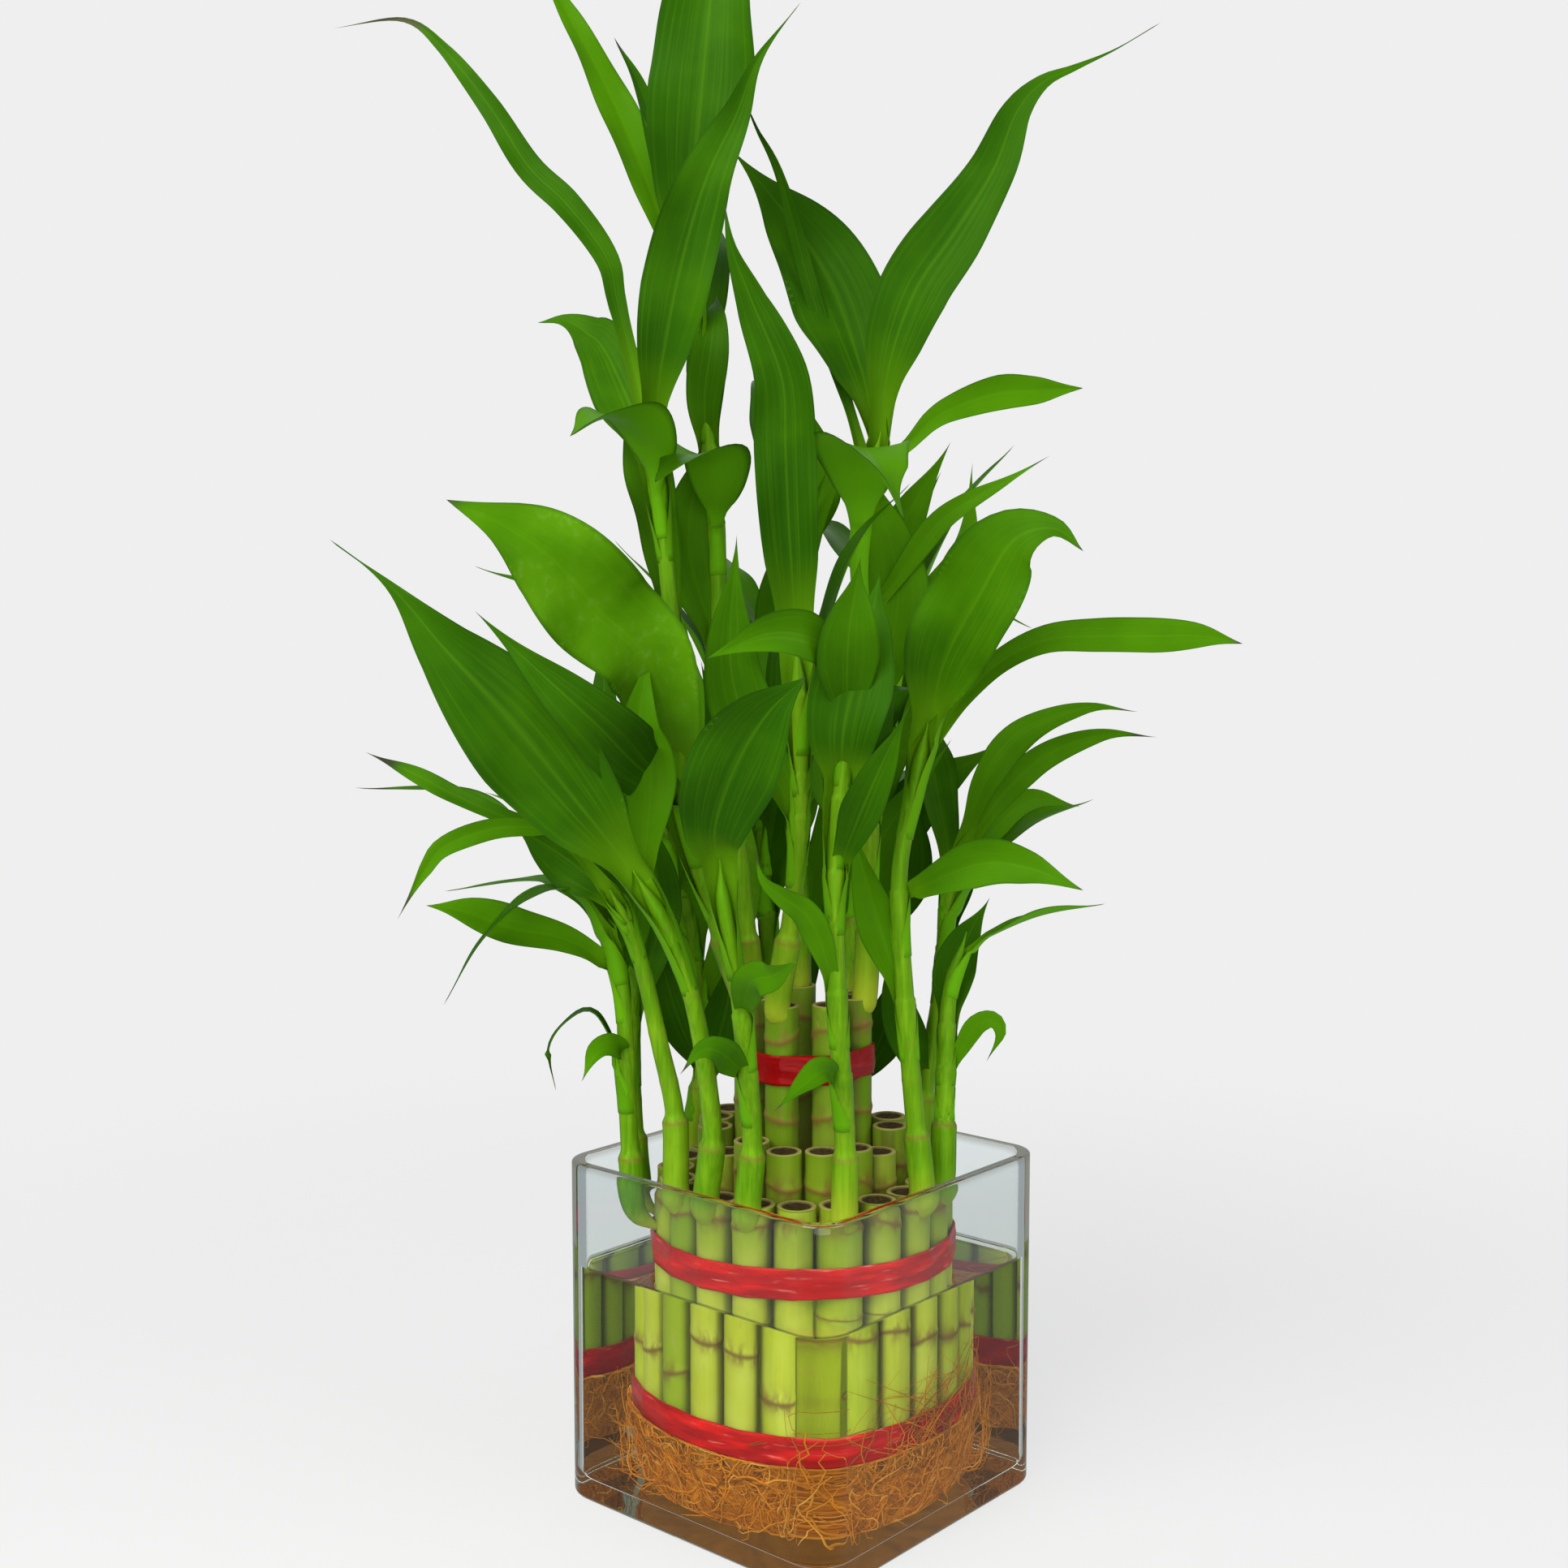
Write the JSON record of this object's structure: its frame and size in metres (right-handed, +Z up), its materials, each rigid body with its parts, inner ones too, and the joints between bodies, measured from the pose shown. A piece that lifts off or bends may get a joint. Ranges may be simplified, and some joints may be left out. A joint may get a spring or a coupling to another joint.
{
  "type": "lucky bamboo",
  "caption": "Two tiers of cut green canes tied with red ribbon, with leafy shoots, rooted in water in a square glass vase.",
  "frame": {"origin": "centre of the vase's underside, on the table", "axes": "+Z up; X and Y along the vase's sides; the side that looks best faces the corner between +X and -Y"},
  "size_m": [0.237, 0.2338, 0.4743],
  "materials": {
    "glass": "clear, polished",
    "water": "clear water",
    "root": "wet fibrous root",
    "cane": "smooth green cane",
    "ribbon": "satin ribbon",
    "leaf": "glossy leaf"
  },
  "bodies": {
    "root": {"vase": "glass", "water": "water", "roots": "root", "ribbon_foot": "ribbon", "ribbon_waist": "ribbon", "ribbon_upper": "ribbon", "cane_outer_01": "cane", "cane_outer_02": "cane", "cane_outer_03": "cane", "cane_outer_04": "cane", "cane_outer_05": "cane", "cane_outer_06": "cane", "cane_outer_07": "cane", "cane_outer_08": "cane", "cane_outer_09": "cane", "cane_outer_10": "cane", "cane_outer_11": "cane", "cane_outer_12": "cane", "cane_outer_13": "cane", "cane_outer_14": "cane", "cane_outer_15": "cane", "cane_outer_16": "cane", "cane_outer_17": "cane", "cane_outer_18": "cane", "cane_outer_19": "cane", "cane_outer_20": "cane", "canes_inner_1": "cane", "canes_inner_2": "cane", "canes_inner_3": "cane", "canes_inner_4": "cane", "cane_upper_1": "cane", "cane_upper_2": "cane", "cane_upper_3": "cane", "cane_upper_4": "cane", "cane_upper_5": "cane", "cane_upper_6": "cane", "cane_upper_7": "cane", "shoot_left_low": "leaf", "shoot_left": "leaf", "shoot_left_front": "leaf", "shoot_front_left": "leaf", "shoot_front": "leaf", "shoot_front_right": "leaf", "shoot_right": "leaf", "shoot_right_back": "leaf", "shoot_tall_left": "leaf", "shoot_tallest": "leaf", "shoot_middle": "leaf", "shoot_tall_right": "leaf", "shoot_back_right": "leaf", "shoot_back": "leaf", "shoot_low_back_right": "leaf", "shoot_low_back": "leaf", "shoot_low_back_left": "leaf", "shoot_left_back": "leaf"}
  },
  "joints": []
}
